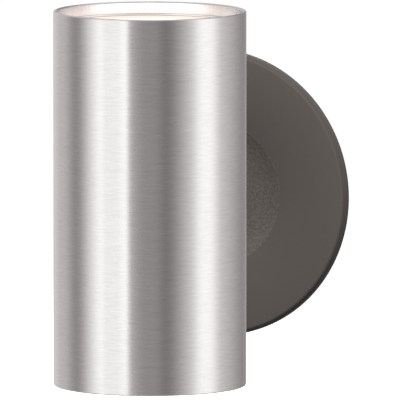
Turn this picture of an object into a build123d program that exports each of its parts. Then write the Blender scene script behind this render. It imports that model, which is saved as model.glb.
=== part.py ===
"""Tube wall light: an upright brushed tube, open at both ends, held off a round dished wall
plate by a short stem.

Millimetres, +Z up. The origin is the middle of the plate's wall side, on the stem's axis.
The wall is the plane Y = 0. The room is on its -Y side, and what reaches into the outlet
box in the wall is on its +Y side. Names ending in _out are distances from the wall into
the room, and negative ones lie inside the box.
"""

import os
from math import atan2, cos, degrees, hypot, radians, sin, sqrt, tan

from build123d import *

os.makedirs("parts", exist_ok=True)

# ---------------------------------------------------------------- driving dimensions

# Strap across the outlet box: steel strip, its middle set back into the box
box_screw_spacing = 88.9
box_slot_length = 10.0
box_slot_width = 4.4
strap_width = 22.0
strap_thickness = 2.0
strap_end_margin = 3.55
strap_hub_rim = 9.0
hub_to_nut_gap = 2.0
strap_joggle_angle = 45.0
joggle_to_screw = 3.9
strap_to_dish_gap = 1.2

# Round wall plate: one pan, spun from sheet, its middle pressed into a shallow dish
plate_sheet = 1.6
plate_edge_radius = 2.0
plate_to_strap_end = 2.9
plate_to_strap_gap = 0.4
plate_screw_spacing = 69.85
dish_diameter = 59.0
dish_depth = 2.2
dish_seat_margin = 0.6

# Machine screws
plate_screw_diameter = 4.1
plate_screw_head_diameter = 8.0
plate_screw_head_height = 2.6
plate_screw_overrun = 3.0
ground_screw_diameter = 4.8
ground_screw_flange_diameter = 9.0
ground_screw_flange_thickness = 0.8
ground_screw_head_width = 7.0
ground_screw_head_height = 2.6
ground_screw_overrun = 0.6
small_screw_diameter = 2.5
small_screw_head_diameter = 4.4
small_screw_head_height = 1.6
small_screw_bite = 4.0

# Threaded nipple, its nuts, washer and wire bushings
nipple_diameter = 10.0
nipple_bore = 7.6
nipple_overrun = 1.5
nut_width = 14.0
rear_nut_thickness = 4.0
front_nut_thickness = 5.0
washer_diameter = 16.0
washer_thickness = 0.9
washer_teeth = 12
washer_notch_depth = 1.0
washer_notch_width = 1.3
bushing_bore = 6.2
bushing_flange = 1.0
bushing_sleeve = 5.0

# Stem, its locating pins and the saddle inside the tube
stem_diameter = 24.0
pin_diameter = 3.0
pin_bite = 6.0
saddle_height = 24.0
saddle_thickness = 4.0

# Tube
tube_diameter = 76.2
tube_wall = 1.65
tube_height = 148.5
tube_reach = 67.0
stem_below_middle = 4.5
tube_edge_round = 0.6
tube_mouth_chamfer = 0.5
grub_screw_diameter = 4.0
grub_screw_recess = 0.4
grub_screw_socket = 2.0
grub_screw_socket_depth = 2.2
grub_screw_bite = 3.0

# Light engine, the same at both ends, from the tube's mouth inwards
lens_recess = 5.5
lens_thickness = 3.0
lens_edge_break = 0.4
ring_wire = 0.9
ring_gap = 9.0
groove_depth = 0.4
gasket_thickness = 1.0
gasket_width = 3.0
reflector_height = 21.0
reflector_sheet = 1.0
reflector_flange = 2.6
board_thickness = 1.6
emitter_side = 10.0
emitter_base = 1.0
emitter_dome_diameter = 8.0
emitter_dome_height = 0.6
neck_to_emitter = 0.5
cone_over_connector = 0.8
connector_width = 8.0
connector_depth = 6.0
connector_height = 3.4
connector_inset = 0.5
board_to_lead_hole = 1.2
sink_base = 6.0
sink_wall = 3.2
skirt_to_saddle = 2.0
fin_count = 20
fin_height = 3.0
fin_thickness = 1.4

# Driver and the bracket that carries it between the two heat sinks
driver_depth = 22.0
driver_behind_axis = 2.0
driver_end_gap = 9.75
driver_edge_round = 1.5
bracket_sheet = 1.5
bracket_inset = 2.0
bracket_window = 12.0
driver_screw_from_end = 7.0

# Terminal block on the strap's back
block_width = 20.0
block_height = 12.0
block_cover = 5.5
block_to_joggle = 0.6
pole_pitch = 6.2
port_depth = 5.0
clamp_screw_diameter = 3.4
clamp_screw_length = 3.5
clamp_screw_spacing = 7.0
clamp_screw_slot_width = 0.7
clamp_screw_slot_depth = 1.2

# Leads
led_lead_diameter = 1.5
led_lead_pitch = 2.6
led_lead_bend = 4.5
led_lead_bite = 2.5
led_lead_climb = 2.0
lead_hole_slack = 1.4
supply_lead_diameter = 2.0
supply_lead_bend = 5.0
supply_lead_circle = 3.4
supply_lead_bite = 4.0
supply_lead_straight = 0.8
supply_lead_drop = 3.0

# Clearances
part_gap = 0.3
sliding_gap = 0.15
thread_gap = 0.05
hole_gap = 0.25
seat_gap = 0.1

# ---------------------------------------------------------------- places worked out

strap_length = box_screw_spacing + box_slot_length + 2 * strap_end_margin
plate_radius = strap_length / 2 + plate_to_strap_end + plate_sheet
plate_out = strap_thickness + plate_to_strap_gap + plate_sheet
dish_floor_out = plate_out - dish_depth
dish_back_out = dish_floor_out - plate_sheet

washer_back_out = dish_back_out - washer_thickness
rear_nut_back_out = washer_back_out - rear_nut_thickness
nipple_rear_out = rear_nut_back_out - nipple_overrun
nut_corner_radius = nut_width / 2 / cos(radians(30))
strap_hub_hole = nut_corner_radius + hub_to_nut_gap
strap_hub_radius = strap_hub_hole + strap_hub_rim
strap_middle_out = dish_back_out - strap_to_dish_gap
strap_back_out = strap_middle_out - strap_thickness
ground_screw_place = (strap_hub_hole + strap_hub_rim / 2, 0)
plate_screw_places = [(0, plate_screw_spacing / 2), (0, -plate_screw_spacing / 2)]
box_screw_places = [(0, box_screw_spacing / 2), (0, -box_screw_spacing / 2)]

tube_radius = tube_diameter / 2
tube_bore_radius = tube_radius - tube_wall
tube_middle_z = stem_below_middle
tube_back_out = tube_reach - tube_radius
tube_inside_out = tube_reach - tube_bore_radius
saddle_front_out = tube_inside_out + seat_gap + saddle_thickness
nipple_front_out = saddle_front_out + front_nut_thickness + nipple_overrun

pin_place = (0, -(nipple_diameter / 2 + stem_diameter / 2) / 2)

ring_radius = tube_bore_radius + groove_depth - sliding_gap - ring_wire / 2
gasket_top = lens_recess + lens_thickness
reflector_top = gasket_top + gasket_thickness
board_top = reflector_top + reflector_height
sink_top = board_top + board_thickness
sink_bottom = sink_top + sink_base
inner_height = tube_height - 2 * sink_bottom
sink_radius = tube_bore_radius - sliding_gap
sink_inner_radius = sink_radius - sink_wall
skirt_length = inner_height / 2 - stem_below_middle - saddle_height / 2 - skirt_to_saddle
grub_screw_height = tube_height / 2 - sink_top - sink_base / 2
grub_screw_places = [
    (0, tube_middle_z + grub_screw_height),
    (0, tube_middle_z - grub_screw_height),
]
clear_radius = sink_inner_radius - fin_height - part_gap

led_lead_radius = clear_radius - led_lead_diameter
lead_hole_diameter = led_lead_pitch + led_lead_diameter + lead_hole_slack
board_radius = led_lead_radius - lead_hole_diameter / 2 - board_to_lead_hole
connector_front = board_radius - connector_inset
neck_radius = hypot(emitter_side, emitter_side) / 2 + neck_to_emitter
neck_height = connector_height + cone_over_connector
board_screw_x = (neck_radius + reflector_sheet + board_radius) / 2
board_screw_places = [(board_screw_x, 0), (-board_screw_x, 0)]

driver_front = driver_depth - driver_behind_axis
driver_width = 2 * sqrt((clear_radius - part_gap) ** 2 - driver_front**2)
driver_length = inner_height - 2 * (bracket_sheet + driver_end_gap)
driver_back_out = tube_reach - driver_behind_axis
bracket_back_out = driver_back_out - bracket_sheet
bracket_width = driver_width - 2 * bracket_inset
bracket_screw_x = bracket_width / 2 - small_screw_head_diameter
bracket_screw_forward = driver_front / 2
driver_screw_height = driver_length / 2 - driver_screw_from_end
driver_screw_places = [
    (0, tube_middle_z + driver_screw_height),
    (0, tube_middle_z - driver_screw_height),
]

port_out = nipple_rear_out - bushing_flange - supply_lead_straight - supply_lead_bend
block_back_out = port_out - block_cover

nipple_hole_radius = nipple_diameter / 2 + hole_gap
pin_hole_radius = pin_diameter / 2 + thread_gap
grub_hole_radius = grub_screw_diameter / 2 + thread_gap
small_hole_radius = small_screw_diameter / 2 + hole_gap
small_thread_radius = small_screw_diameter / 2 + thread_gap

tube_axis = Axis((0, -tube_reach, 0), (0, 0, 1))


def across_wall(out):
    """A plane parallel to the wall, facing the room, that far out from it."""
    return Plane.XZ.offset(out)


def tube_level(z):
    """A level plane centred on the tube's axis."""
    return Plane((0, -tube_reach, z))


def end_plane(side, depth):
    """A level plane that far inside the tube's mouth, facing further in.

    Its own y axis points to the room, at the upper end and the lower one.
    """
    z = tube_middle_z + side * (tube_height / 2 - depth)
    return Plane((0, -tube_reach, z), x_dir=(side, 0, 0), z_dir=(0, 0, -side))


def section_plane(side, angle=0.0):
    """A plane through the tube's axis, its y axis running inwards from one mouth.

    The angle is counted from the +X side, about the tube's axis.
    """
    x, y = cos(radians(angle)), sin(radians(angle))
    z = tube_middle_z + side * tube_height / 2
    return Plane((0, -tube_reach, z), x_dir=(x, y, 0), z_dir=(-side * y, side * x, 0))


def screw(head_diameter, head_height, shank_diameter, shank_length):
    """A slotted round-head screw, its head seated on z = 0 and its shank below."""
    head_round = head_height * 0.6
    slot_width, slot_depth = head_diameter / 6, head_height * 0.45
    with BuildPart() as made:
        with BuildSketch(Plane.XY):
            Circle(head_diameter / 2)
        extrude(amount=head_height)
        fillet(made.faces().sort_by(Axis.Z)[-1].edges(), radius=head_round)
        with BuildSketch(Plane.XY):
            Circle(shank_diameter / 2)
        extrude(amount=-shank_length)
        with BuildSketch(Plane.XY.offset(head_height)):
            Rectangle(head_diameter, slot_width)
        extrude(amount=-slot_depth, mode=Mode.SUBTRACT)
    return made.part


def small_screw(shank_length):
    """The small screw used inside the tube and on the terminal block."""
    return screw(
        small_screw_head_diameter, small_screw_head_height, small_screw_diameter, shank_length
    )


def hex_nut(thickness):
    """A plain nut for the nipple, standing on z = 0."""
    with BuildPart() as made:
        with BuildSketch(Plane.XY):
            RegularPolygon(radius=nut_width / 2, side_count=6, major_radius=False)
            Circle(nipple_diameter / 2 + thread_gap, mode=Mode.SUBTRACT)
        extrude(amount=thickness)
    return made.part


def wire_bushing():
    """A plastic bushing, its flange on z = 0 and its sleeve below, in the nipple's bore."""
    with BuildPart() as made:
        with BuildSketch(Plane.XY):
            Circle(nipple_diameter / 2)
            Circle(bushing_bore / 2, mode=Mode.SUBTRACT)
        extrude(amount=bushing_flange)
        with BuildSketch(Plane.XY):
            Circle(nipple_bore / 2 - thread_gap)
            Circle(bushing_bore / 2, mode=Mode.SUBTRACT)
        extrude(amount=-bushing_sleeve)
    return made.part


def lead_along(points, radii, diameter):
    """A round lead along straight runs joined by arcs."""
    with BuildPart() as made:
        with BuildLine() as route:
            FilletPolyline(*points, radius=radii)
        with BuildSketch(Plane(origin=route.line @ 0, z_dir=route.line % 0)):
            Circle(diameter / 2)
        sweep(path=route.line)
    return made.part


# ---------------------------------------------------------------- wall plate

# One revolved section: the flat seat under the stem, the dish's curve, the flat ring, the
# rounded edge and the short skirt that stands on the wall.
dish_radius = dish_diameter / 2
seat_radius = stem_diameter / 2 + dish_seat_margin
dish_run = dish_radius - seat_radius
dish_curve = (dish_run**2 + dish_depth**2) / (2 * dish_depth)
half_turn = atan2(dish_run, dish_curve - dish_depth) / 2
curve_middle_r = seat_radius + dish_curve * sin(half_turn)
curve_middle_out = dish_floor_out + dish_curve * (1 - cos(half_turn))
rim_bend = (plate_radius - plate_edge_radius, -(plate_out - plate_edge_radius))
bend_45 = plate_edge_radius * cos(radians(45))
with BuildPart() as wall_plate:
    with BuildSketch(Plane.XY):
        with BuildLine():
            Line((nipple_hole_radius, -dish_floor_out), (seat_radius, -dish_floor_out))
            ThreePointArc(
                (seat_radius, -dish_floor_out),
                (curve_middle_r, -curve_middle_out),
                (dish_radius, -plate_out),
            )
            Line((dish_radius, -plate_out), (rim_bend[0], -plate_out))
            ThreePointArc(
                (rim_bend[0], -plate_out),
                (rim_bend[0] + bend_45, rim_bend[1] - bend_45),
                (plate_radius, rim_bend[1]),
            )
            Polyline(
                (plate_radius, rim_bend[1]),
                (plate_radius, 0),
                (plate_radius - plate_sheet, 0),
                (plate_radius - plate_sheet, -(plate_out - plate_sheet)),
                (dish_radius, -(plate_out - plate_sheet)),
            )
            ThreePointArc(
                (dish_radius, -(plate_out - plate_sheet)),
                (curve_middle_r, -(curve_middle_out - plate_sheet)),
                (seat_radius, -dish_back_out),
            )
            Polyline(
                (seat_radius, -dish_back_out),
                (nipple_hole_radius, -dish_back_out),
                (nipple_hole_radius, -dish_floor_out),
            )
        make_face()
    revolve(axis=Axis.Y)
    with BuildSketch(across_wall(plate_out)):
        with Locations(*plate_screw_places):
            Circle(plate_screw_diameter / 2 + hole_gap)
        with Locations(pin_place):
            Circle(pin_hole_radius)
    extrude(amount=-plate_out, mode=Mode.SUBTRACT)
wall_plate.part.label = "wall_plate"
export_step(wall_plate.part, "parts/wall_plate.step")

# ---------------------------------------------------------------- mounting strap

# The strip's side view: flat ends on the wall, a joggle, and the middle set back.
joggle_top = plate_screw_spacing / 2 - joggle_to_screw
joggle_run = (strap_thickness - strap_middle_out) / tan(radians(strap_joggle_angle))
joggle_foot = joggle_top - joggle_run
bend_shift = strap_thickness * tan(radians(strap_joggle_angle / 2))
half_strap = strap_length / 2
block_middle_z = -(joggle_foot - block_to_joggle - block_height / 2)
block_screw_place = (pole_pitch / 2, block_middle_z)
front_side = [
    (-strap_thickness, half_strap),
    (-strap_thickness, joggle_top),
    (-strap_middle_out, joggle_foot),
]
back_side = [
    (-strap_back_out, joggle_foot + bend_shift),
    (0, joggle_top + bend_shift),
    (0, half_strap),
]
whole_front = front_side + [(y, -z) for y, z in reversed(front_side)]
whole_back = [(y, -z) for y, z in reversed(back_side)] + back_side
with BuildPart() as mounting_strap:
    with BuildSketch(Plane.YZ):
        with BuildLine():
            Polyline(*whole_front, *whole_back, close=True)
        make_face()
    extrude(amount=strap_width / 2, both=True)
    with BuildSketch(across_wall(strap_middle_out)):
        Circle(strap_hub_radius)
    extrude(amount=-strap_thickness)
    with BuildSketch(across_wall(strap_thickness)):
        Circle(strap_hub_hole)
        with Locations(ground_screw_place):
            Circle(ground_screw_diameter / 2 + thread_gap)
        with Locations(*plate_screw_places):
            Circle(plate_screw_diameter / 2 + thread_gap)
        with Locations(*box_screw_places):
            SlotOverall(box_slot_length, box_slot_width, rotation=90)
        with Locations(block_screw_place):
            Circle(small_thread_radius)
    extrude(amount=-(strap_thickness - strap_back_out), mode=Mode.SUBTRACT)
mounting_strap.part.label = "mounting_strap"
export_step(mounting_strap.part, "parts/mounting_strap.step")

plate_screw = screw(
    plate_screw_head_diameter,
    plate_screw_head_height,
    plate_screw_diameter,
    plate_out + plate_screw_overrun,
)
with BuildPart() as plate_screws:
    with Locations(across_wall(plate_out)):
        with Locations(*plate_screw_places):
            add(plate_screw)
plate_screws.part.label = "plate_screws"
export_step(plate_screws.part, "parts/plate_screws.step")

# Hex washer head on the box side of the strap, for the building's earth wire.
with BuildPart() as ground_screw:
    with BuildSketch(across_wall(strap_back_out)):
        with Locations(ground_screw_place):
            Circle(ground_screw_flange_diameter / 2)
    extrude(amount=-ground_screw_flange_thickness)
    with BuildSketch(across_wall(strap_back_out - ground_screw_flange_thickness)):
        with Locations(ground_screw_place):
            RegularPolygon(ground_screw_head_width / 2, side_count=6, major_radius=False)
    extrude(amount=-ground_screw_head_height)
    with BuildSketch(across_wall(strap_back_out)):
        with Locations(ground_screw_place):
            Circle(ground_screw_diameter / 2)
    extrude(amount=strap_thickness + ground_screw_overrun)
ground_screw.part.label = "ground_screw"
export_step(ground_screw.part, "parts/ground_screw.step")

# ---------------------------------------------------------------- nipple and its fixings

with BuildPart() as nipple:
    with BuildSketch(across_wall(nipple_rear_out)):
        Circle(nipple_diameter / 2)
        Circle(nipple_bore / 2, mode=Mode.SUBTRACT)
    extrude(amount=nipple_front_out - nipple_rear_out)
nipple.part.label = "nipple"
export_step(nipple.part, "parts/nipple.step")

with BuildPart() as lock_washer:
    with BuildSketch(across_wall(washer_back_out)):
        Circle(washer_diameter / 2)
        Circle(nipple_hole_radius, mode=Mode.SUBTRACT)
        with PolarLocations(washer_diameter / 2, washer_teeth):
            Rectangle(2 * washer_notch_depth, washer_notch_width, mode=Mode.SUBTRACT)
    extrude(amount=washer_thickness)
lock_washer.part.label = "lock_washer"
export_step(lock_washer.part, "parts/lock_washer.step")

rear_nut_shape = hex_nut(rear_nut_thickness)
with BuildPart() as rear_nut:
    with Locations(across_wall(rear_nut_back_out)):
        add(rear_nut_shape)
rear_nut.part.label = "rear_nut"
export_step(rear_nut.part, "parts/rear_nut.step")

front_nut_shape = hex_nut(front_nut_thickness)
with BuildPart() as front_nut:
    with Locations(across_wall(saddle_front_out)):
        add(front_nut_shape)
front_nut.part.label = "front_nut"
export_step(front_nut.part, "parts/front_nut.step")

bushing = wire_bushing()
with BuildPart() as nipple_bushings:
    with Locations(across_wall(nipple_front_out)):
        add(bushing)
    with Locations(Plane((0, -nipple_rear_out, 0), x_dir=(1, 0, 0), z_dir=(0, 1, 0))):
        add(bushing)
nipple_bushings.part.label = "nipple_bushings"
export_step(nipple_bushings.part, "parts/nipple_bushings.step")

# ---------------------------------------------------------------- stem, pins and saddle

# A turned bar, its front end coped to the back of the tube.
with BuildPart() as stem:
    with BuildSketch(across_wall(dish_floor_out)):
        Circle(stem_diameter / 2)
    extrude(amount=tube_reach - dish_floor_out)
    with BuildSketch(tube_level(0)):
        Circle(tube_radius + seat_gap)
    extrude(amount=stem_diameter, both=True, mode=Mode.SUBTRACT)
    with BuildSketch(across_wall(dish_floor_out)):
        Circle(nipple_hole_radius)
    extrude(amount=tube_reach, mode=Mode.SUBTRACT)
    with BuildSketch(across_wall(dish_floor_out)):
        with Locations(pin_place):
            Circle(pin_hole_radius)
    extrude(amount=pin_bite + part_gap, mode=Mode.SUBTRACT)
    with BuildSketch(across_wall(tube_back_out)):
        with Locations(pin_place):
            Circle(pin_hole_radius)
    extrude(amount=pin_bite + part_gap, both=True, mode=Mode.SUBTRACT)
stem.part.label = "stem"
export_step(stem.part, "parts/stem.step")

# Two pins under the nipple keep the stem and the tube from turning on it.
with BuildPart() as stem_pins:
    with BuildSketch(across_wall(dish_back_out)):
        with Locations(pin_place):
            Circle(pin_diameter / 2)
    extrude(amount=plate_sheet + pin_bite)
    with BuildSketch(across_wall(tube_inside_out)):
        with Locations(pin_place):
            Circle(pin_diameter / 2)
    extrude(amount=-(tube_wall + pin_bite))
stem_pins.part.label = "stem_pins"
export_step(stem_pins.part, "parts/stem_pins.step")

# Clamps the tube from inside: curved to the bore at the back, flat under the nut.
with BuildPart() as inner_saddle:
    with BuildSketch(across_wall(saddle_front_out)):
        Rectangle(stem_diameter, saddle_height)
    extrude(amount=-tube_bore_radius)
    with BuildSketch(tube_level(0)):
        Circle(tube_bore_radius - seat_gap)
    extrude(amount=saddle_height, both=True, mode=Mode.INTERSECT)
    with BuildSketch(across_wall(saddle_front_out)):
        Circle(nipple_hole_radius)
    extrude(amount=-tube_bore_radius, mode=Mode.SUBTRACT)
inner_saddle.part.label = "inner_saddle"
export_step(inner_saddle.part, "parts/inner_saddle.step")

# ---------------------------------------------------------------- tube

with BuildPart() as tube_body:
    with BuildSketch(end_plane(1, 0)):
        Circle(tube_radius)
        Circle(tube_bore_radius, mode=Mode.SUBTRACT)
    extrude(amount=tube_height)
    rims = tube_body.edges().filter_by(GeomType.CIRCLE).group_by(SortBy.RADIUS)
    chamfer(rims[0], length=tube_mouth_chamfer)
    rims = tube_body.edges().filter_by(GeomType.CIRCLE).group_by(SortBy.RADIUS)
    fillet(rims[-1], radius=tube_edge_round)
    for side in (1, -1):
        groove_plane = end_plane(side, lens_recess - ring_wire)
        with BuildSketch(groove_plane):
            Circle(tube_bore_radius + groove_depth)
        extrude(amount=ring_wire, mode=Mode.SUBTRACT)
    with BuildSketch(across_wall(tube_reach)):
        Circle(nipple_hole_radius)
        with Locations(pin_place):
            Circle(pin_hole_radius)
        with Locations(*grub_screw_places):
            Circle(grub_hole_radius)
    extrude(amount=-tube_diameter, mode=Mode.SUBTRACT)
tube_body.part.label = "tube_body"
export_step(tube_body.part, "parts/tube_body.step")

# Socket-head grub screws in the tube's back, one into the edge of each heat sink.
grub_length = tube_wall + sliding_gap + grub_screw_bite - grub_screw_recess
with BuildPart() as tube_grub_screws:
    with BuildSketch(across_wall(tube_back_out + grub_screw_recess)):
        with Locations(*grub_screw_places):
            Circle(grub_screw_diameter / 2)
    extrude(amount=grub_length)
    with BuildSketch(across_wall(tube_back_out + grub_screw_recess)):
        with Locations(*grub_screw_places):
            RegularPolygon(grub_screw_socket / 2, side_count=6, major_radius=False)
    extrude(amount=grub_screw_socket_depth, mode=Mode.SUBTRACT)
tube_grub_screws.part.label = "tube_grub_screws"
export_step(tube_grub_screws.part, "parts/tube_grub_screws.step")

# ---------------------------------------------------------------- the two light engines

flange_radius = tube_bore_radius - part_gap
cone_top_radius = flange_radius - reflector_flange
for side, end in ((1, "upper"), (-1, "lower")):
    # Frosted glass disc, its edges broken.
    with BuildPart() as lens:
        with BuildSketch(end_plane(side, lens_recess)):
            Circle(flange_radius)
        extrude(amount=lens_thickness)
        chamfer(lens.edges().filter_by(GeomType.CIRCLE), length=lens_edge_break)
    lens.part.label = f"{end}_lens"
    export_step(lens.part, f"parts/{end}_lens.step")

    # Spring ring of round wire, sprung into the tube's groove, its gap towards the room.
    gap_angle = degrees(ring_gap / ring_radius)
    with BuildPart() as lens_ring:
        with BuildSketch(section_plane(side, gap_angle / 2 - 90)):
            with Locations((ring_radius, lens_recess - ring_wire / 2)):
                Circle(ring_wire / 2 - thread_gap)
        revolve(axis=tube_axis, revolution_arc=360 - gap_angle)
    lens_ring.part.label = f"{end}_lens_ring"
    export_step(lens_ring.part, f"parts/{end}_lens_ring.step")

    # Flat silicone ring between the lens and the reflector's flange.
    with BuildPart() as lens_gasket:
        with BuildSketch(end_plane(side, gasket_top)):
            Circle(flange_radius)
            Circle(flange_radius - gasket_width, mode=Mode.SUBTRACT)
        extrude(amount=gasket_thickness)
    lens_gasket.part.label = f"{end}_lens_gasket"
    export_step(lens_gasket.part, f"parts/{end}_lens_gasket.step")

    # Spun reflector: a flange under the gasket, a cone, and a neck round the emitter.
    cone_foot = board_top - neck_height
    with BuildPart() as reflector:
        with BuildSketch(section_plane(side)):
            with BuildLine():
                Polyline(
                    (neck_radius, board_top),
                    (neck_radius, cone_foot),
                    (cone_top_radius, reflector_top),
                    (flange_radius, reflector_top),
                    (flange_radius, reflector_top + reflector_sheet),
                    (cone_top_radius + reflector_sheet / 2, reflector_top + reflector_sheet),
                    (neck_radius + reflector_sheet, cone_foot + reflector_sheet / 2),
                    (neck_radius + reflector_sheet, board_top),
                    close=True,
                )
            make_face()
        revolve(axis=tube_axis)
    reflector.part.label = f"{end}_reflector"
    export_step(reflector.part, f"parts/{end}_reflector.step")

    # Metal-core board, with two screw holes.
    with BuildPart() as led_board:
        with BuildSketch(end_plane(side, board_top)):
            Circle(board_radius)
            with Locations(*board_screw_places):
                Circle(small_hole_radius, mode=Mode.SUBTRACT)
        extrude(amount=board_thickness)
    led_board.part.label = f"{end}_led_board"
    export_step(led_board.part, f"parts/{end}_led_board.step")

    # The emitter: a square base with a low round dome.
    with BuildPart() as emitter:
        with BuildSketch(end_plane(side, board_top)):
            Rectangle(emitter_side, emitter_side)
        extrude(amount=-emitter_base)
        with BuildSketch(end_plane(side, board_top - emitter_base)):
            Circle(emitter_dome_diameter / 2)
        extrude(amount=-emitter_dome_height)
    emitter.part.label = f"{end}_emitter"
    export_step(emitter.part, f"parts/{end}_emitter.step")

    # Push-in connector on the board's room side, its two ports facing outwards.
    port_level = board_top - connector_height / 2
    with BuildPart() as connector:
        with BuildSketch(end_plane(side, board_top)):
            with Locations((0, connector_front - connector_depth / 2)):
                Rectangle(connector_width, connector_depth)
        extrude(amount=-connector_height)
        port_z = tube_middle_z + side * (tube_height / 2 - port_level)
        with BuildSketch(across_wall(tube_reach + connector_front)):
            with Locations((led_lead_pitch / 2, port_z), (-led_lead_pitch / 2, port_z)):
                Circle(led_lead_diameter / 2 + sliding_gap)
        extrude(amount=-(led_lead_bite + part_gap), mode=Mode.SUBTRACT)
    connector.part.label = f"{end}_connector"
    export_step(connector.part, f"parts/{end}_connector.step")

    # Heat sink: a cup with a thick floor, a skirt along the tube's wall and inner fins.
    with BuildPart() as heat_sink:
        with BuildSketch(end_plane(side, sink_top)):
            Circle(sink_radius)
        extrude(amount=sink_base + skirt_length)
        with BuildSketch(end_plane(side, sink_bottom)):
            Circle(sink_inner_radius)
        extrude(amount=skirt_length, mode=Mode.SUBTRACT)
        with BuildSketch(end_plane(side, sink_bottom)):
            with PolarLocations(sink_inner_radius, fin_count, start_angle=360 / fin_count / 2):
                Rectangle(2 * fin_height, fin_thickness)
        extrude(amount=skirt_length)
        with BuildSketch(end_plane(side, sink_top)):
            with Locations((0, led_lead_radius)):
                Circle(lead_hole_diameter / 2)
        extrude(amount=sink_base, mode=Mode.SUBTRACT)
        with BuildSketch(end_plane(side, sink_top)):
            with Locations(*board_screw_places):
                Circle(small_thread_radius)
        extrude(amount=small_screw_bite + part_gap, mode=Mode.SUBTRACT)
        with BuildSketch(end_plane(side, sink_bottom)):
            with Locations(
                (bracket_screw_x, bracket_screw_forward),
                (-bracket_screw_x, bracket_screw_forward),
            ):
                Circle(small_thread_radius)
        extrude(amount=-(small_screw_bite + part_gap), mode=Mode.SUBTRACT)
        with BuildSketch(across_wall(tube_reach - sink_radius)):
            with Locations((0, tube_middle_z + side * grub_screw_height)):
                Circle(grub_hole_radius)
        extrude(amount=grub_screw_bite + part_gap, mode=Mode.SUBTRACT)
    heat_sink.part.label = f"{end}_heat_sink"
    export_step(heat_sink.part, f"parts/{end}_heat_sink.step")

    board_screw = small_screw(board_thickness + small_screw_bite)
    with BuildPart() as board_screws:
        board_side_out = Plane(
            end_plane(side, board_top).origin, x_dir=(1, 0, 0), z_dir=(0, 0, side)
        )
        with Locations(board_side_out):
            with Locations(*board_screw_places):
                add(board_screw)
    board_screws.part.label = f"{end}_board_screws"
    export_step(board_screws.part, f"parts/{end}_board_screws.step")

# ---------------------------------------------------------------- driver and bracket

# The bracket is a channel: its web behind the driver, its flanges on the two heat sinks.
half_inner = inner_height / 2
flange_front_out = tube_reach + driver_front - bracket_inset
with BuildPart() as driver_bracket:
    with BuildSketch(Plane.YZ):
        with BuildLine():
            Polyline(
                (-flange_front_out, tube_middle_z + half_inner),
                (-bracket_back_out, tube_middle_z + half_inner),
                (-bracket_back_out, tube_middle_z - half_inner),
                (-flange_front_out, tube_middle_z - half_inner),
                (-flange_front_out, tube_middle_z - half_inner + bracket_sheet),
                (-driver_back_out, tube_middle_z - half_inner + bracket_sheet),
                (-driver_back_out, tube_middle_z + half_inner - bracket_sheet),
                (-flange_front_out, tube_middle_z + half_inner - bracket_sheet),
                close=True,
            )
        make_face()
    extrude(amount=bracket_width / 2, both=True)
    with BuildSketch(across_wall(bracket_back_out)):
        Circle(bracket_window / 2)
        with Locations(*driver_screw_places):
            Circle(small_hole_radius)
    extrude(amount=bracket_sheet, mode=Mode.SUBTRACT)
    with BuildSketch(tube_level(tube_middle_z)):
        with Locations(
            (bracket_screw_x, -bracket_screw_forward),
            (-bracket_screw_x, -bracket_screw_forward),
        ):
            Circle(small_hole_radius)
    extrude(amount=half_inner, both=True, mode=Mode.SUBTRACT)
driver_bracket.part.label = "driver_bracket"
export_step(driver_bracket.part, "parts/driver_bracket.step")

bracket_screw = small_screw(bracket_sheet + small_screw_bite)
with BuildPart() as bracket_screws:
    for side in (1, -1):
        flange_face = Plane(
            (0, -tube_reach, tube_middle_z + side * (half_inner - bracket_sheet)),
            x_dir=(1, 0, 0),
            z_dir=(0, 0, -side),
        )
        with Locations(flange_face):
            with Locations(
                (bracket_screw_x, side * bracket_screw_forward),
                (-bracket_screw_x, side * bracket_screw_forward),
            ):
                add(bracket_screw)
bracket_screws.part.label = "bracket_screws"
export_step(bracket_screws.part, "parts/bracket_screws.step")

with BuildPart() as driver:
    with BuildSketch(across_wall(driver_back_out)):
        with Locations((0, tube_middle_z)):
            Rectangle(driver_width, driver_length)
    extrude(amount=driver_depth)
    fillet(driver.edges().filter_by(Axis.Z), radius=driver_edge_round)
    with BuildSketch(across_wall(driver_back_out)):
        with Locations(*driver_screw_places):
            Circle(small_thread_radius)
    extrude(amount=small_screw_bite + part_gap, mode=Mode.SUBTRACT)
driver.part.label = "driver"
export_step(driver.part, "parts/driver.step")

driver_screw = small_screw(bracket_sheet + small_screw_bite)
bracket_back = Plane((0, -bracket_back_out, 0), x_dir=(-1, 0, 0), z_dir=(0, 1, 0))
with BuildPart() as driver_screws:
    with Locations(bracket_back):
        with Locations(*driver_screw_places):
            add(driver_screw)
driver_screws.part.label = "driver_screws"
export_step(driver_screws.part, "parts/driver_screws.step")

# ---------------------------------------------------------------- terminal block

block_top_z = block_middle_z + block_height / 2
pole_places = [-pole_pitch, 0, pole_pitch]
clamp_screw_places = [
    (x, block_middle_z + z)
    for x in pole_places
    for z in (clamp_screw_spacing / 2, -clamp_screw_spacing / 2)
]
with BuildPart() as terminal_block:
    with BuildSketch(across_wall(strap_back_out)):
        with Locations((0, block_middle_z)):
            Rectangle(block_width, block_height)
    extrude(amount=-(strap_back_out - block_back_out))
    for z in (block_top_z, block_top_z - block_height):
        with BuildSketch(Plane.XY.offset(z)):
            with Locations(*[(x, -port_out) for x in pole_places]):
                Circle(supply_lead_diameter / 2 + sliding_gap)
        extrude(amount=port_depth * (-1 if z == block_top_z else 1), mode=Mode.SUBTRACT)
    with BuildSketch(across_wall(block_back_out)):
        with Locations(*clamp_screw_places):
            Circle(clamp_screw_diameter / 2 + thread_gap)
    extrude(amount=clamp_screw_length, mode=Mode.SUBTRACT)
    with BuildSketch(across_wall(block_back_out)):
        with Locations(block_screw_place):
            Circle(small_thread_radius)
    extrude(amount=strap_back_out - block_back_out, mode=Mode.SUBTRACT)
terminal_block.part.label = "terminal_block"
export_step(terminal_block.part, "parts/terminal_block.step")

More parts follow.
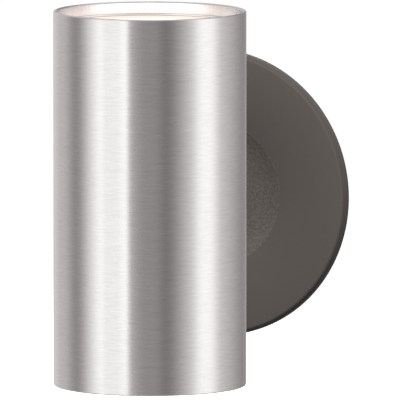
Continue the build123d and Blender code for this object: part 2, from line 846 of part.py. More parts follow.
with BuildPart() as clamp_screws:
    with BuildSketch(across_wall(block_back_out)):
        with Locations(*clamp_screw_places):
            Circle(clamp_screw_diameter / 2)
    extrude(amount=clamp_screw_length)
    with BuildSketch(across_wall(block_back_out)):
        with Locations(*clamp_screw_places):
            Rectangle(clamp_screw_diameter, clamp_screw_slot_width)
    extrude(amount=clamp_screw_slot_depth, mode=Mode.SUBTRACT)
clamp_screws.part.label = "clamp_screws"
export_step(clamp_screws.part, "parts/clamp_screws.step")

block_screw_shape = small_screw(strap_back_out - block_back_out + strap_thickness)
block_face = Plane((0, -block_back_out, 0), x_dir=(-1, 0, 0), z_dir=(0, 1, 0))
with BuildPart() as block_screw:
    with Locations(block_face):
        with Locations((-block_screw_place[0], block_screw_place[1])):
            add(block_screw_shape)
block_screw.part.label = "block_screw"
export_step(block_screw.part, "parts/block_screw.step")

# ---------------------------------------------------------------- leads

# From the driver's two ends to the two boards: up past the bracket's flange, through the
# heat sink, and over into the connector.
driver_exit_out = tube_reach + driver_front - bracket_inset - driver_edge_round
lead_rise_out = tube_reach + led_lead_radius
connector_out = tube_reach + connector_front
for side, end in ((1, "upper"), (-1, "lower")):
    driver_end_z = tube_middle_z + side * driver_length / 2
    port_z = tube_middle_z + side * (tube_height / 2 - (board_top - connector_height / 2))
    turn_z = driver_end_z + side * (driver_end_gap / 2)
    for x, polarity in ((led_lead_pitch / 2, "positive"), (-led_lead_pitch / 2, "negative")):
        route = [
            (x, -driver_exit_out, driver_end_z),
            (x, -driver_exit_out, turn_z),
            (x, -lead_rise_out, turn_z + side * led_lead_climb),
            (x, -lead_rise_out, port_z),
            (x, -(connector_out - led_lead_bite), port_z),
        ]
        led_lead = lead_along(route, led_lead_bend, led_lead_diameter)
        led_lead.label = f"{end}_{polarity}_lead"
        export_step(led_lead, f"parts/{end}_{polarity}_lead.step")

# From the driver's back through the nipple, then down to the terminal block. The three lie
# in a triangle in the bore, the middle one lowest, so that they part without crossing.
circle_radius = supply_lead_circle / 2
supply_runs = (
    ("line_lead", -circle_radius * cos(radians(30)), circle_radius / 2, -pole_pitch),
    ("earth_lead", 0.0, -circle_radius, 0.0),
    ("neutral_lead", circle_radius * cos(radians(30)), circle_radius / 2, pole_pitch),
)
for name, x, z, port_x in supply_runs:
    through_nipple = [(x, -driver_back_out, z), (x, -port_out, z)]
    over_port = (port_x, -port_out, block_top_z + supply_lead_drop)
    in_port = (port_x, -port_out, block_top_z - supply_lead_bite)
    across = [] if port_x == x else [over_port]
    route = [*through_nipple, *across, in_port]
    supply_lead = lead_along(route, supply_lead_bend, supply_lead_diameter)
    supply_lead.label = name
    export_step(supply_lead, f"parts/{name}.step")
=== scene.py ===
"""Tube wall light: an upright brushed tube held off a dark round wall plate by a short stem.

Metres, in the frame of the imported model: +Z up, the wall is the plane Y = 0, the room is on
the -Y side, and the origin is the middle of the plate's wall side, on the stem's axis.
"""

from math import atan2, cos, degrees, pi, radians, sin

import bmesh
import bpy
from mathutils import Matrix, Vector


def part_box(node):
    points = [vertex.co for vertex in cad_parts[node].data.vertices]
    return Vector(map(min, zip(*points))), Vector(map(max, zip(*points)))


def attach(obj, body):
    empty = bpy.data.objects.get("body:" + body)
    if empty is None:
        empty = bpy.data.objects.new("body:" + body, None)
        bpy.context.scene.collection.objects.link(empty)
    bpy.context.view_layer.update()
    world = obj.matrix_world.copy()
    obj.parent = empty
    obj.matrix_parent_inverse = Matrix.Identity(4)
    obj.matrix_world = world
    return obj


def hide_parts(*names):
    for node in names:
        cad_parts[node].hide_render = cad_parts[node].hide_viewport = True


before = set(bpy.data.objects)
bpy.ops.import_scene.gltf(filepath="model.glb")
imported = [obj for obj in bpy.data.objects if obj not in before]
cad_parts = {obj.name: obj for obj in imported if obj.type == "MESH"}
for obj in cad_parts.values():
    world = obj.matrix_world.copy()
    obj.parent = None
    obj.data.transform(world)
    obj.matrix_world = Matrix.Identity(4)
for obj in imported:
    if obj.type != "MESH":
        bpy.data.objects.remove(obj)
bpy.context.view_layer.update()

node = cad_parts
scene = bpy.context.scene
scene.view_settings.view_transform = "Standard"
mm = 0.001

# ---------------------------------------------------------------- camera

# Looks from the right of the light and a little above it, from far off, so that its upright
# lines stay upright. The aim stands to the right of the tube, which leaves the plate its room.
tube_low, tube_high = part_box("tube_body")
tube_middle = (tube_low + tube_high) / 2
view_azimuth = radians(22.9)
view_height = radians(6.4)
view_distance = 5.5
view_width = 0.1579
aim_right = 0.0198
aim_down = 0.00087

towards_camera = Vector((
    sin(view_azimuth) * cos(view_height),
    -cos(view_azimuth) * cos(view_height),
    sin(view_height),
))
camera_right = Vector((cos(view_azimuth), sin(view_azimuth), 0))
camera_up = towards_camera.cross(camera_right)
aim = tube_middle + aim_right * camera_right - aim_down * camera_up

camera = bpy.data.objects.new("camera", bpy.data.cameras.new("camera"))
camera.data.lens = camera.data.sensor_width * view_distance / view_width
camera.location = aim + view_distance * towards_camera
camera.rotation_mode = "QUATERNION"
camera.rotation_quaternion = (-towards_camera).to_track_quat("-Z", "Y")
scene.collection.objects.link(camera)
scene.camera = camera

# ---------------------------------------------------------------- mounting strap

# Strip steel, sheared, pierced and pressed into a joggle, then plated with bright zinc, which
# shows faint crystals. Two screws through its end slots hold it on the outlet box. The other
# plated pieces, and the two pins that stop the tube from turning, have the same finish.


class Wire:
    """A socket in a finish's node tree. Sums written with it become Math nodes."""

    def __init__(self, tree, socket=None):
        self.tree = tree
        self.socket = socket

    def add(self, kind, settings=None, sockets=None, out=0):
        """One more node: its type, its settings, its sockets' values or wires, its output."""
        made = self.tree.nodes.new("ShaderNode" + kind)
        for name, value in (settings or {}).items():
            setattr(made, name, value)
        for key, value in (sockets or {}).items():
            if isinstance(value, Wire):
                self.tree.links.new(value.socket, made.inputs[key])
            elif isinstance(value, tuple) and made.inputs[key].type == "RGBA":
                made.inputs[key].default_value = (*value, 1)
            else:
                made.inputs[key].default_value = value
        return Wire(self.tree, made.outputs[out])

    def also(self, out):
        """Another output of the node that this one comes from."""
        return Wire(self.tree, self.socket.node.outputs[out])

    def sum(self, operation, *values):
        """A Math node."""
        return self.add("Math", {"operation": operation}, dict(enumerate(values)))

    def __add__(self, other):
        return self.sum("ADD", self, other)

    def __radd__(self, other):
        return self.sum("ADD", other, self)

    def __sub__(self, other):
        return self.sum("SUBTRACT", self, other)

    def __rsub__(self, other):
        return self.sum("SUBTRACT", other, self)

    def __mul__(self, other):
        return self.sum("MULTIPLY", self, other)

    def __rmul__(self, other):
        return self.sum("MULTIPLY", other, self)

    def __pow__(self, other):
        return self.sum("POWER", self, other)

    def ease(self, low, high):
        """0 below low and 1 above high, with a soft start and end."""
        ends = {"Value": self, "From Min": low, "From Max": high}
        return self.add("MapRange", {"interpolation_type": "SMOOTHSTEP"}, ends)

    def blend(self, first, second):
        """A colour between two, by this value."""
        return self.add("Mix", {"data_type": "RGBA"}, {0: self, 6: first, 7: second}, out=2)

    def place(self, middle=(0, 0, 0)):
        """Where a point of the surface is, counted from a middle: its x, y and z."""
        here = self.add("TexCoord", out="Object")
        moved = self.add("VectorMath", {"operation": "SUBTRACT"}, {0: here, 1: middle})
        x = self.add("SeparateXYZ", {}, {0: moved})
        return x, x.also("Y"), x.also("Z")

    def from_axis(self, middle):
        """How far a point of the surface is from the upright line through a middle."""
        x, y, _ = self.place(middle)
        return (x * x + y * y) ** 0.5

    def grain(self, size, stretch=(1, 1, 1), detail=2.0, roughness=0.5, kind="TexNoise"):
        """Cloudy variation in space about 0.5, its lumps that many metres across."""
        place = self.add("TexCoord", out="Object")
        scale = tuple(1 / (size * s) for s in stretch)
        scaled = self.add("VectorMath", {"operation": "MULTIPLY"}, {0: place, 1: scale})
        sockets = {"Vector": scaled, "Scale": 1.0, "Detail": detail, "Roughness": roughness}
        return self.add(kind, {}, sockets)

    def bump(self, height, depth):
        """The surface's normal over a height from 0 to 1 that stands that many metres deep."""
        return self.add("Bump", {}, {"Height": height, "Distance": depth})


class Finish(Wire):
    """A named material, made by wiring what varies over the surface into one shader."""

    def __init__(self, name):
        self.material = bpy.data.materials.new(name)
        self.material.use_nodes = True
        super().__init__(self.material.node_tree)
        self.tree.nodes.clear()

    def show(self, shader):
        """Makes that shader the material's surface."""
        output = self.tree.nodes.new("ShaderNodeOutputMaterial")
        self.tree.links.new(shader.socket, output.inputs["Surface"])

    def coat(self, *pieces, **sockets):
        """Wires the shader's sockets and paints the pieces."""
        names = {key: key.replace("_", " ").title().replace("Ior", "IOR") for key in sockets}
        values = {names[key]: value for key, value in sockets.items()}
        self.show(self.add("BsdfPrincipled", {}, values))
        for piece in pieces:
            piece.data.materials.clear()
            piece.data.materials.append(self.material)


zinc = Finish("zinc_steel")
crystal = zinc.grain(2.2 * mm, kind="TexVoronoi", detail=0.0).also("Color")
crystal_tone = zinc.add("SeparateXYZ", {}, {0: crystal})
roll_lines = zinc.grain(0.35 * mm, stretch=(1, 1, 25), detail=3.0, roughness=0.6)
zinc_tone = 0.55 * crystal_tone + 0.45 * roll_lines
zinc.coat(
    node["mounting_strap"], node["lock_washer"], node["rear_nut"], node["front_nut"],
    node["inner_saddle"], node["driver_bracket"], node["stem_pins"],
    base_color=zinc_tone.blend((0.50, 0.51, 0.53), (0.72, 0.73, 0.74)),
    metallic=1.0,
    roughness=0.26 + 0.20 * zinc_tone,
    normal=zinc.bump(roll_lines, 0.004 * mm),
)

# Hex washer-head screw for the building's earth wire, zinc plated and lacquered green.
green = Finish("earth_green")
wear = green.grain(1.4 * mm, detail=4.0, roughness=0.7)
green.coat(
    node["ground_screw"],
    base_color=wear.ease(0.35, 0.75).blend((0.035, 0.26, 0.09), (0.075, 0.40, 0.16)),
    metallic=0.55,
    roughness=0.30 + 0.18 * wear,
    coat_weight=0.5,
    coat_roughness=0.12,
    normal=green.bump(wear, 0.01 * mm),
)

# ---------------------------------------------------------------- nipple

# Hollow threaded steel rod that the wires pass through: it carries the whole light, with a
# nut and a toothed washer behind the plate and a nut in the tube. Its thread is rolled.
nipple_low, nipple_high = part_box("nipple")
nipple_radius = nipple_high.x
nipple_bore = 3.8 * mm
nipple_pitch = 1.0 * mm
nipple_thread_depth = 0.45 * mm
nipple_chamfer = 0.5 * mm
rod_sides = 40
thread_rows_per_pitch = 8


def arc(middle, radius, start, end, steps):
    """Points along an arc of a section, both ends included; angles in degrees."""
    turns = [radians(start + (end - start) * i / steps) for i in range(steps + 1)]
    return [(middle[0] + radius * cos(t), middle[1] + radius * sin(t)) for t in turns]


def thread(radius, start, end, pitch):
    """A section's points along a thread, marked with its pitch for spin to cut."""
    rows = round(abs(end - start) / pitch * thread_rows_per_pitch)
    return [(radius, start + (end - start) * k / rows, pitch) for k in range(rows + 1)]


def spin(name, section, axis, middle, sides=256, thread_depth=0.0):
    """Turns a section of (radius, distance along the axis) points into a solid."""
    along = Vector(axis).normalized()
    first = along.orthogonal().normalized()
    second = along.cross(first)
    made = bmesh.new()
    on_axis = {k: made.verts.new(middle + along * point[1])
               for k, point in enumerate(section) if point[0] == 0}
    rings = []
    for i in range(sides):
        turn = 2 * pi * i / sides
        out = first * cos(turn) + second * sin(turn)
        ring = []
        for k, (radius, height, *pitch) in enumerate(section):
            cut = 0.5 - 0.5 * cos(2 * pi * height / pitch[0] - turn) if pitch else 0
            point = middle + out * (radius - cut * thread_depth) + along * height
            ring.append(on_axis[k] if k in on_axis else made.verts.new(point))
        rings.append(ring)
    for here, there in zip(rings, rings[1:] + rings[:1]):
        for k in range(len(section)):
            j = (k + 1) % len(section)
            corners = list(dict.fromkeys((here[k], there[k], there[j], here[j])))
            if len(corners) > 2:
                made.faces.new(corners)
    bmesh.ops.recalc_face_normals(made, faces=made.faces)
    mesh = bpy.data.meshes.new(name)
    made.to_mesh(mesh)
    made.free()
    return mesh


sharpest_smooth_edge = radians(32)


def place_mesh(mesh, name, slot, *nodes):
    """Shades a finished mesh and makes it a piece that stands for CAD nodes."""
    mesh.shade_smooth()
    mesh.set_sharp_from_angle(angle=sharpest_smooth_edge)
    piece = bpy.data.objects.new(name, mesh)
    scene.collection.objects.link(piece)
    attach(piece, "root")
    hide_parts(*nodes)
    return piece


nipple_front = -nipple_low.y
nipple_rear = -nipple_high.y
thread_front = nipple_front - nipple_chamfer
thread_rear = nipple_rear + nipple_chamfer
nipple_section = [
    (nipple_bore, nipple_rear),
    (nipple_radius - nipple_chamfer, nipple_rear),
    *thread(nipple_radius, thread_rear, thread_front, nipple_pitch),
    (nipple_radius - nipple_chamfer, nipple_front),
    (nipple_bore, nipple_front),
]
wall_middle = Vector((0, 0, 0))
into_room = (0, -1, 0)
nipple_mesh = spin(
    "threaded_nipple", nipple_section, into_room, wall_middle,
    sides=rod_sides, thread_depth=nipple_thread_depth,
)
nipple = place_mesh(nipple_mesh, "threaded_nipple", "zinc_steel", "nipple")
nipple.data.materials.append(zinc.material)

# Nylon bushings in the nipple's two ends keep its edges off the wires. The push-in
# connectors on the boards and the terminal block are the same moulded off-white nylon.
nylon = Finish("connector_white")
flow = nylon.grain(6 * mm, detail=3.0)
spark_grain = nylon.grain(0.22 * mm, detail=2.0)
nylon.coat(
    node["nipple_bushings"], node["upper_connector"], node["lower_connector"],
    node["terminal_block"],
    base_color=flow.ease(0.3, 0.7).blend((0.79, 0.775, 0.73), (0.86, 0.85, 0.81)),
    roughness=0.42 + 0.14 * spark_grain,
    normal=nylon.bump(spark_grain, 0.012 * mm),
)

# ---------------------------------------------------------------- wall plate

# Spun from 1.6 mm steel: a flat ring, a rounded edge that stands on the wall, and a shallow
# round dish in its middle. Dark bronze powder coat, smooth on the ring and grained in the
# dish. Painted shade darkens the coat on the rounded edge, and painted light lifts the dish.
# The stem that seats in the dish is coated with it.
plate_low, plate_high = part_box("wall_plate")
plate_radius = plate_high.x
plate_front = -plate_low.y
plate_sheet = 1.6 * mm
plate_hole = 5.25 * mm
edge_round = 2.0 * mm
dish_radius = 29.5 * mm
dish_depth = 2.2 * mm
seat_radius = 12.6 * mm
dish_run = dish_radius - seat_radius
dish_curve = (dish_run**2 + dish_depth**2) / (2 * dish_depth)
dish_slope = degrees(atan2(dish_run, dish_curve - dish_depth))
dish_floor = plate_front - dish_depth
dish_middle = (seat_radius, dish_floor + dish_curve)
dish_steps = 24
dish_side = arc(dish_middle, dish_curve, -90, dish_slope - 90, dish_steps)
edge_middle = (plate_radius - edge_round, plate_front - edge_round)
edge_steps = 10
plate_section = [
    (plate_hole, dish_floor),
    *dish_side,
    *arc(edge_middle, edge_round, 90, 0, edge_steps),
    (plate_radius, 0),
    (plate_radius - plate_sheet, 0),
    (plate_radius - plate_sheet, plate_front - plate_sheet),
    *[(radius, height - plate_sheet) for radius, height in reversed(dish_side)],
    (plate_hole, dish_floor - plate_sheet),
]
screw_spacing = 69.85 * mm
screw_radius = 2.05 * mm
screw_hole_radius = 2.3 * mm
screw_drill_length = 10 * mm
drill_sides = 48


def drill(mesh, *holes):
    """Cuts round holes, each (centre, direction, radius, length), and closes the mesh."""
    bits = bmesh.new()
    for centre, direction, radius, length in holes:
        turned = Vector(direction).to_track_quat("Z", "Y").to_matrix().to_4x4()
        bmesh.ops.create_cone(
            bits, cap_ends=True, segments=drill_sides, radius1=radius, radius2=radius,
            depth=length, matrix=Matrix.Translation(centre) @ turned,
        )
    return cut_away(mesh, bits)


def cut_away(mesh, bits):
    """Takes the shape in the second mesh out of the first, and returns what is left."""
    bit_mesh = bpy.data.meshes.new("bits")
    bits.to_mesh(bit_mesh)
    bits.free()
    work = bpy.data.objects.new("work", mesh)
    tool = bpy.data.objects.new("tool", bit_mesh)
    scene.collection.objects.link(work)
    scene.collection.objects.link(tool)
    cut = work.modifiers.new("cut", "BOOLEAN")
    cut.operation = "DIFFERENCE"
    cut.solver = "EXACT"
    cut.object = tool
    depsgraph = bpy.context.evaluated_depsgraph_get()
    left = bpy.data.meshes.new_from_object(work.evaluated_get(depsgraph))
    left.name = mesh.name
    bpy.data.objects.remove(work)
    bpy.data.objects.remove(tool)
    return left


screw_seats = [Vector((0, -plate_front, side * screw_spacing / 2)) for side in (1, -1)]
plate_mesh = drill(
    spin("plate", plate_section, into_room, wall_middle),
    *[(seat, into_room, screw_hole_radius, screw_drill_length) for seat in screw_seats],
)
plate = place_mesh(plate_mesh, "plate", "bronze_coat", "wall_plate")
plate.visible_glossy = False

bronze = Finish("bronze_coat")
x, _, z = bronze.place()
from_middle = (x * x + z * z) ** 0.5
facing = bronze.add("TexCoord", out="Normal")
turned_back = bronze.add("SeparateXYZ", {}, {0: facing}).also("Y")
grain_start = dish_radius + 0.1 * mm
grain_full = dish_radius - 0.5 * mm
in_dish = 1 - from_middle.ease(grain_full, grain_start)
in_dish = in_dish * (1 - turned_back.ease(0.2, 0.6))
# Painted shade: the ring's coat turns darker over the rounded edge, standing in for the shade
# that falls there.
edge_shade_start = plate_radius - 1.7 * mm
edge_shade_full = plate_radius - 0.5 * mm
painted_edge_shade = from_middle.ease(edge_shade_start, edge_shade_full)
pebble = bronze.grain(0.9 * mm, detail=2.0, roughness=0.6)
cast_grain = bronze.grain(0.9 * mm, detail=2.0, roughness=0.65)
pebble_and_edge_shade = 0.2 * pebble + 0.8 * painted_edge_shade
ring_coat_with_painted_edge_shade = pebble_and_edge_shade.blend((0.096, 0.085, 0.077), (0.050, 0.043, 0.040))
grained_tone = cast_grain.ease(0.28, 0.72)
# The dish's coat is lighter than the ring's. This is partly its grained finish and partly
# painted light that lifts the shade in the dish.
grained_coat_with_painted_light = grained_tone.blend((0.081, 0.0715, 0.064), (0.128, 0.1135, 0.102))
pebble_share = 0.12
relief = pebble * (1 - in_dish) * pebble_share + in_dish * cast_grain
bronze.coat(
    plate, node["stem"],
    base_color=in_dish.blend(ring_coat_with_painted_edge_shade, grained_coat_with_painted_light),
    roughness=0.50 + 0.05 * pebble,
    specular_ior_level=0.25,
    normal=bronze.bump(relief, 0.07 * mm),
)

# ---------------------------------------------------------------- plate screws

# Round-head machine screws through the plate into the strap, coated to match it. Their heads
# stand behind the tube, above and below the dish.
head_radius = 4.0 * mm
head_height = 2.6 * mm
head_round = 0.6 * head_height
head_middle = (head_radius - head_round, head_height - head_round)
head_steps = 8
slot_width = 1.3 * mm
slot_depth = 1.2 * mm
slot_length = 2.2 * head_radius
screw_length = 7.0 * mm
screw_pitch = 0.8 * mm
screw_thread_depth = 0.35 * mm
screw_chamfer = 0.4 * mm
screw_section = [
    (0, head_height),
    *arc(head_middle, head_round, 90, 0, head_steps),
    (head_radius, 0),
    (screw_radius, 0),
    *thread(screw_radius, -screw_pitch, screw_chamfer - screw_length, screw_pitch),
    (screw_radius - screw_chamfer, -screw_length),
    (0, -screw_length),
]
screws_made = bmesh.new()
for seat in screw_seats:
    blank = spin(
        "screw", screw_section, into_room, seat,
        sides=rod_sides, thread_depth=screw_thread_depth,
    )
    slot = bmesh.new()
    slot_box = Matrix.Diagonal((slot_length, 2 * slot_depth, slot_width, 1))
    slot_place = Matrix.Translation(seat + Vector((0, -head_height, 0)))
    bmesh.ops.create_cube(slot, size=1.0, matrix=slot_place @ slot_box)
    screws_made.from_mesh(cut_away(blank, slot))
screws_mesh = bpy.data.meshes.new("threaded_plate_screws")
screws_made.to_mesh(screws_mesh)
screws_made.free()
plate_screws = place_mesh(screws_mesh, "threaded_plate_screws", "bronze_coat", "plate_screws")
plate_screws.data.materials.append(bronze.material)

# ---------------------------------------------------------------- tube

# Drawn aluminium tube, cut square, its outer corners broken, its bore chamfered and grooved
# for the lens rings, and its back drilled for the nipple, a pin and the two grub screws.
# Turned against an abrasive belt, so that the fine scratches run round it, and lacquered.
tube_wall = 1.65 * mm
tube_radius = (tube_high.x - tube_low.x) / 2
tube_bore = tube_radius - tube_wall
tube_axis = Vector((tube_middle.x, tube_middle.y, 0))
upwards = (0, 0, 1)
rim_round = 0.6 * mm
rim_steps = 6
bore_chamfer = 0.5 * mm
groove_radius = tube_bore + 0.4 * mm
groove_top = 4.6 * mm
groove_bottom = 5.5 * mm
upper_rim = [
    (tube_bore, tube_high.z - groove_top),
    (tube_bore, tube_high.z - bore_chamfer),
    (tube_bore + bore_chamfer, tube_high.z),
    *arc((tube_radius - rim_round, tube_high.z - rim_round), rim_round, 90, 0, rim_steps),
]
lower_rim = [
    *arc((tube_radius - rim_round, tube_low.z + rim_round), rim_round, 0, -90, rim_steps),
    (tube_bore + bore_chamfer, tube_low.z),
    (tube_bore, tube_low.z + bore_chamfer),
    (tube_bore, tube_low.z + groove_top),
]
lower_groove = [
    (groove_radius, tube_low.z + groove_top),
    (groove_radius, tube_low.z + groove_bottom),
    (tube_bore, tube_low.z + groove_bottom),
]
upper_groove = [
    (tube_bore, tube_high.z - groove_bottom),
    (groove_radius, tube_high.z - groove_bottom),
    (groove_radius, tube_high.z - groove_top),
]
tube_section = upper_rim + lower_rim + lower_groove + upper_groove
tube_back = Vector((0, tube_high.y, 0))
back_drill_length = 20 * mm
nipple_play = 0.25 * mm
close_play = 0.05 * mm
grub_low, grub_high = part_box("tube_grub_screws")
grub_radius = (grub_high.x - grub_low.x) / 2
pins_low, pins_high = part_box("stem_pins")
pin_radius = (pins_high.x - pins_low.x) / 2
back_holes = [
    (0, nipple_radius + nipple_play),
    ((pins_low.z + pins_high.z) / 2, pin_radius + close_play),
    (grub_high.z - grub_radius, grub_radius + close_play),
    (grub_low.z + grub_radius, grub_radius + close_play),
]
tube_mesh = drill(
    spin("tube", tube_section, upwards, tube_axis),
    *[(tube_back + Vector((0, 0, z)), into_room, radius, back_drill_length)
      for z, radius in back_holes],
)
tube = place_mesh(tube_mesh, "tube", "brushed_tube", "tube_body")

brushed = Finish("brushed_tube")
hairline = brushed.grain(0.38 * mm, stretch=(13, 13, 1), detail=2.0, roughness=0.6)
scratch = brushed.grain(0.85 * mm, stretch=(12, 12, 1), detail=3.0, roughness=0.7)
cloud = brushed.grain(30 * mm, detail=2.0)
brush_lines = 0.6 * hairline + 0.4 * scratch
brush_tone = brush_lines.ease(0.30, 0.70)
brushed.coat(
    tube,
    base_color=brush_tone.blend((0.594, 0.588, 0.578), (0.672, 0.665, 0.654)),
    metallic=1.0,
    roughness=0.20 + 0.10 * scratch + 0.04 * cloud,
    anisotropic=0.8,
    anisotropic_rotation=0.25,
    normal=brushed.bump(brush_lines, 0.005 * mm),
)

# The bore keeps the satin skin of the drawing die, and picks up the lens's light.
bore = Finish("tube_bore")
draw_marks = bore.grain(0.4 * mm, stretch=(1, 1, 60), detail=3.0, roughness=0.6)
bore.coat(
    base_color=draw_marks.ease(0.3, 0.7).blend((0.76, 0.78, 0.805), (0.83, 0.85, 0.875)),
    metallic=1.0,
    roughness=0.18 + 0.06 * draw_marks,
    normal=bore.bump(draw_marks, 0.004 * mm),
)
tube.data.materials.append(bore.material)
bore_limit = tube_bore + bore_chamfer / 4
for face in tube.data.polygons:
    on_axis_here = Vector((tube_axis.x, tube_axis.y, face.center.z))
    face.material_index = 1 if (face.center - on_axis_here).length < bore_limit else 0

# ---------------------------------------------------------------- grub screws

# Socket-head grub screws, chemically blacked, flush in the tube's back. They press on the
# heat sinks.
black = Finish("black_steel")
oxide = black.grain(0.5 * mm, detail=4.0, roughness=0.7)
black.coat(
    node["tube_grub_screws"],
    base_color=oxide.blend((0.018, 0.018, 0.020), (0.060, 0.060, 0.064)),
    metallic=0.6,
    roughness=0.34 + 0.16 * oxide,
    normal=black.bump(oxide, 0.008 * mm),
)

# ---------------------------------------------------------------- light engines

# Die-cast heat sinks, blasted, pushed in from each mouth against the tube's wall. Each
# carries a board with its emitter, and a reflector over it.
sink = Finish("sink_aluminium")
blasted = sink.grain(0.25 * mm, detail=3.0, roughness=0.7)
sink_cloud = sink.grain(9 * mm, detail=3.0)
sink.coat(
    node["upper_heat_sink"], node["lower_heat_sink"],
    base_color=sink_cloud.blend((0.47, 0.48, 0.49), (0.60, 0.61, 0.62)),
    metallic=1.0,
    roughness=0.44 + 0.16 * blasted,
    normal=sink.bump(blasted, 0.03 * mm),
)

# Metal-core boards: white solder mask over the round tracks, which show as faint ridges.
board = Finish("board_white")
track_pitch = 3.1 * mm
track_wave = board.sum("SINE", board.from_axis(tube_axis) * (2 * pi / track_pitch))
track = track_wave.ease(0.35, 0.75)
mask_flow = board.grain(2 * mm, detail=3.0)
mask_tone = 0.6 * track + 0.3 * mask_flow
board.coat(
    node["upper_led_board"], node["lower_led_board"],
    base_color=mask_tone.blend((0.84, 0.85, 0.83), (0.76, 0.79, 0.75)),
    roughness=0.24 + 0.12 * mask_flow,
    normal=board.bump(track, 0.035 * mm),
)

# The emitters: a round of yellow phosphor in silicone, cast on a white ceramic base.
phosphor = Finish("phosphor")
dome_radius = 3.9 * mm
dome_blur = 0.15 * mm
off_dome = phosphor.from_axis(tube_axis).ease(dome_radius - dome_blur, dome_radius + dome_blur)
on_dome = 1 - off_dome
powder = phosphor.grain(0.3 * mm, detail=3.0)
phosphor_tone = on_dome * (0.8 + 0.2 * powder)
phosphor.coat(
    node["upper_emitter"], node["lower_emitter"],
    base_color=phosphor_tone.blend((0.84, 0.83, 0.79), (0.87, 0.66, 0.13)),
    roughness=0.50 - 0.25 * on_dome + 0.10 * powder,
    normal=phosphor.bump(powder, 0.01 * mm),
)

# Spun aluminium reflectors, bright anodised, with the spinning tool's fine rings.
mirror = Finish("bright_reflector")
ring_pitch = 0.35 * mm
ring_wave = mirror.sum("SINE", mirror.from_axis(tube_axis) * (2 * pi / ring_pitch))
tool_rings = ring_wave * 0.5 + 0.5
satin = mirror.grain(1.5 * mm, detail=3.0)
mirror_tone = 0.5 * tool_rings + 0.5 * satin
mirror.coat(
    node["upper_reflector"], node["lower_reflector"],
    base_color=mirror_tone.blend((0.80, 0.80, 0.81), (0.90, 0.90, 0.91)),
    metallic=1.0,
    roughness=0.12 + 0.08 * tool_rings + 0.06 * satin,
    normal=mirror.bump(tool_rings, 0.003 * mm),
)

# Flat gaskets, punched from white silicone sheet.
silicone = Finish("silicone")
dust = silicone.grain(0.7 * mm, detail=4.0, roughness=0.7)
silicone.coat(
    node["upper_lens_gasket"], node["lower_lens_gasket"],
    base_color=dust.blend((0.72, 0.72, 0.70), (0.83, 0.83, 0.81)),
    roughness=0.50 + 0.15 * dust,
    normal=silicone.bump(dust, 0.01 * mm),
)

# Zinc-plated machine screws that hold the boards, the bracket, the driver and the block.
steel = Finish("screw_steel")
plating = steel.grain(0.4 * mm, detail=3.0, roughness=0.6)
steel.coat(
    node["upper_board_screws"], node["lower_board_screws"], node["bracket_screws"],
    node["driver_screws"], node["block_screw"],
    base_color=plating.blend((0.47, 0.48, 0.50), (0.63, 0.64, 0.65)),
    metallic=1.0,
    roughness=0.24 + 0.14 * plating,
    normal=steel.bump(plating, 0.006 * mm),
)

# ---------------------------------------------------------------- lenses

# Frosted glass discs, 5.5 mm inside each mouth, lit from below by a warm white emitter: the
# middle glares, and the light falls off and warms towards the edge.
lens = Finish("frosted_glass")
hot_radius = 8 * mm
dim_radius = 30 * mm
glow = 1 - lens.from_axis(tube_axis).ease(hot_radius, dim_radius)
frost = lens.grain(0.4 * mm, detail=3.0)
lens.coat(
    node["upper_lens"], node["lower_lens"],
    base_color=glow.blend((0.23, 0.185, 0.158), (0.28, 0.26, 0.235)),
    roughness=0.45 + 0.15 * frost,
    emission_color=glow.blend((0.235, 0.206, 0.187), (1.0, 0.93, 0.87)),
    emission_strength=2.2,
    normal=lens.bump(frost, 0.01 * mm),
)

# Rings of bright drawn spring wire, sprung into the grooves, hold the lenses in.
spring = Finish("spring_wire")
die_marks = spring.grain(0.25 * mm, detail=3.0, roughness=0.7)
spring.coat(
    node["upper_lens_ring"], node["lower_lens_ring"],
    base_color=die_marks.blend((0.84, 0.84, 0.84), (0.93, 0.93, 0.93)),
    metallic=1.0,
    roughness=0.28 + 0.12 * die_marks,
    normal=spring.bump(die_marks, 0.004 * mm),
)

# ---------------------------------------------------------------- driver

# A potted block in a moulded light grey case, its flat sides grained by the mould. Screws
# hold it on the bracket between the two heat sinks.
case = Finish("driver_case")
mould_grain = case.grain(0.35 * mm, detail=3.0)
case_cloud = case.grain(14 * mm, detail=2.0)
case.coat(
    node["driver"],
    base_color=case_cloud.blend((0.71, 0.71, 0.69), (0.80, 0.80, 0.78)),
    roughness=0.42 + 0.14 * mould_grain,
    normal=case.bump(mould_grain, 0.02 * mm),
)

# ---------------------------------------------------------------- terminal block

# Turned brass clamp screws, one over each wire port of the nylon block. The block is screwed
# to the strap.
brass = Finish("clamp_brass")
turning = brass.grain(0.2 * mm, stretch=(1, 6, 1), detail=3.0, roughness=0.6)
tarnish = brass.grain(1.8 * mm, detail=3.0)
brass.coat(
    node["clamp_screws"],
    base_color=tarnish.blend((0.62, 0.45, 0.19), (0.78, 0.63, 0.32)),
    metallic=1.0,
    roughness=0.22 + 0.16 * turning,
    normal=brass.bump(turning, 0.006 * mm),
)

# ---------------------------------------------------------------- leads

# Stranded copper in silicone insulation with a dull skin: red and black to the boards, and
# black, white and green from the driver to the block.
lead_colours = (
    ("lead_red", (0.42, 0.020, 0.018), (0.58, 0.035, 0.030),
     ("upper_positive_lead", "lower_positive_lead")),
    ("lead_black", (0.018, 0.018, 0.019), (0.040, 0.040, 0.042),
     ("upper_negative_lead", "lower_negative_lead", "line_lead")),
    ("lead_white", (0.74, 0.74, 0.71), (0.84, 0.84, 0.82), ("neutral_lead",)),
    ("lead_green", (0.030, 0.27, 0.08), (0.075, 0.39, 0.14), ("earth_lead",)),
)
for slot_name, dull, fresh, lead_names in lead_colours:
    skin = Finish(slot_name)
    chalk = skin.grain(0.8 * mm, detail=3.0, roughness=0.6)
    skin.coat(
        *[node[name] for name in lead_names],
        base_color=chalk.blend(dull, fresh),
        roughness=0.38 + 0.16 * chalk,
        normal=skin.bump(chalk, 0.01 * mm),
    )

# ---------------------------------------------------------------- room

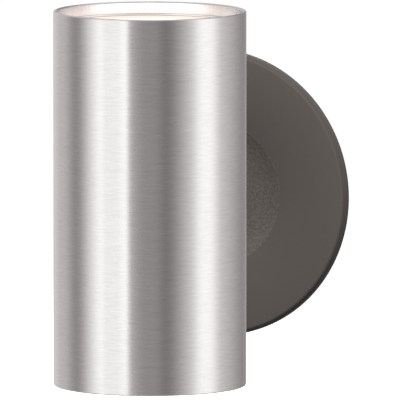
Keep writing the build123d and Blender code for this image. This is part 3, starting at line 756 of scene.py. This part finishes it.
# A pale floor well below the light, which keeps its shadow; the camera sees it as near white,
# and looks through it from underneath.
floor_drop = 0.28
floor_size = 14.0
floor_height = tube_low.z - floor_drop
floor_mesh = bmesh.new()
for x, y in ((-1, -1), (1, -1), (1, 1), (-1, 1)):
    floor_mesh.verts.new((x * floor_size / 2, y * floor_size / 2, floor_height))
floor_mesh.faces.new(floor_mesh.verts)
floor_data = bpy.data.meshes.new("floor")
floor_mesh.to_mesh(floor_data)
floor_mesh.free()
floor = bpy.data.objects.new("floor", floor_data)
floor.visible_glossy = False
floor.visible_diffuse = False
scene.collection.objects.link(floor)

paper = Finish("floor_paper")
direct = paper.add("LightPath", out="Is Camera Ray")
matte = paper.add("BsdfDiffuse", {}, {"Color": (0.85, 0.85, 0.85)})
white = paper.add("Emission", {}, {"Color": (1.0, 1.0, 1.0), "Strength": 0.7 * direct})
from_above = paper.add("AddShader", {}, {0: matte, 1: white})
from_below = paper.add("BsdfTransparent")
underside = paper.add("NewGeometry", out="Backfacing")
paper.show(paper.add("MixShader", {}, {0: underside, 1: from_above, 2: from_below}))
floor.data.materials.append(paper.material)

# Around it stands a plain studio, which only polished things show: tall soft boxes in front
# and beside the light, weaker ones towards the wall, and grey gaps. Bearings are in degrees,
# to the right from straight out into the room, or to the left from the wall. A box's light
# comes up between its first two bearings and goes down between the other two.
studio = bpy.data.worlds.new("studio")
studio.use_nodes = True
studio.node_tree.nodes.clear()
sky = Wire(studio.node_tree)
right = sky.add("SeparateXYZ", {}, {0: sky.add("TexCoord", out="Generated")})
away = right.also("Y")
above = right.also("Z")
front_turn = sky.sum("ARCTAN2", right, 0 - away) * (180 / pi)
back_turn = sky.sum("ARCTAN2", 0 - right, away) * (180 / pi)
gap_level = 0.245
floor_level = 0.6
ceiling_level = 0.85
soft_boxes = (
    (front_turn, (-83, -26), (-4.5, -2), 1.58),
    (front_turn, (-37, -33), (-17, -3), -0.43),
    (front_turn, (-6, -5), (28, 44), 0.155),
    (front_turn, (-6, -5), (1, 18), 0.155),
    (front_turn, (73, 90), (100, 119), 0.56),
    (front_turn, (41, 83), (96, 190), 0.74),
    (back_turn, (-16, 56), (76, 113), 0.48),
    (back_turn, (-41, 47), (48, 67), 0.105),
)
level = gap_level
for turn, (start, full), (fade, end), strength in soft_boxes:
    level = level + strength * turn.ease(start, full) * (1 - turn.ease(fade, end))
level = level + (ceiling_level - level) * above.ease(0.35, 0.9)
level = level + (floor_level - level) * (1 - above.ease(-0.9, -0.4))

# Matt things are lit by an even, low light from all round. The camera sees white.
ray = sky.add("LightPath", out="Is Camera Ray")
glossy = ray.also("Is Glossy Ray")
plain_level = 0.15 + 0.14 * above.ease(-0.3, 0.3)
lit = plain_level + glossy * (level - plain_level)
in_gap = glossy * (1 - level.ease(0.5, 1.4))
tint = in_gap.blend((1.0, 1.0, 1.0), (1.0, 0.938, 0.954))
background = sky.add("Background", {}, {"Color": tint, "Strength": ray + (1 - ray) * lit})
world_output = sky.tree.nodes.new("ShaderNodeOutputWorld")
sky.tree.links.new(background.socket, world_output.inputs["Surface"])
scene.world = studio

# The key light stands high to the right of the camera, clear of the tube's shadow, and a
# second lamp lights the side that faces the wall. Neither shows in polished things.
lamp_distance = 2.2
for lamp_name, azimuth, height, across, power in (
    ("key", 36, 61, 0.6, 97.0),
    ("back", 200, 28, 0.9, 48.0),
):
    turn = radians(azimuth)
    rise = radians(height)
    towards_lamp = Vector((sin(turn) * cos(rise), -cos(turn) * cos(rise), sin(rise)))
    lamp_data = bpy.data.lights.new(lamp_name, "AREA")
    lamp_data.shape = "DISK"
    lamp_data.size = across
    lamp_data.energy = power
    lamp = bpy.data.objects.new(lamp_name, lamp_data)
    lamp.location = lamp_distance * towards_lamp
    lamp.rotation_mode = "QUATERNION"
    lamp.rotation_quaternion = (-towards_lamp).to_track_quat("-Z", "Y")
    lamp.visible_glossy = False
    scene.collection.objects.link(lamp)
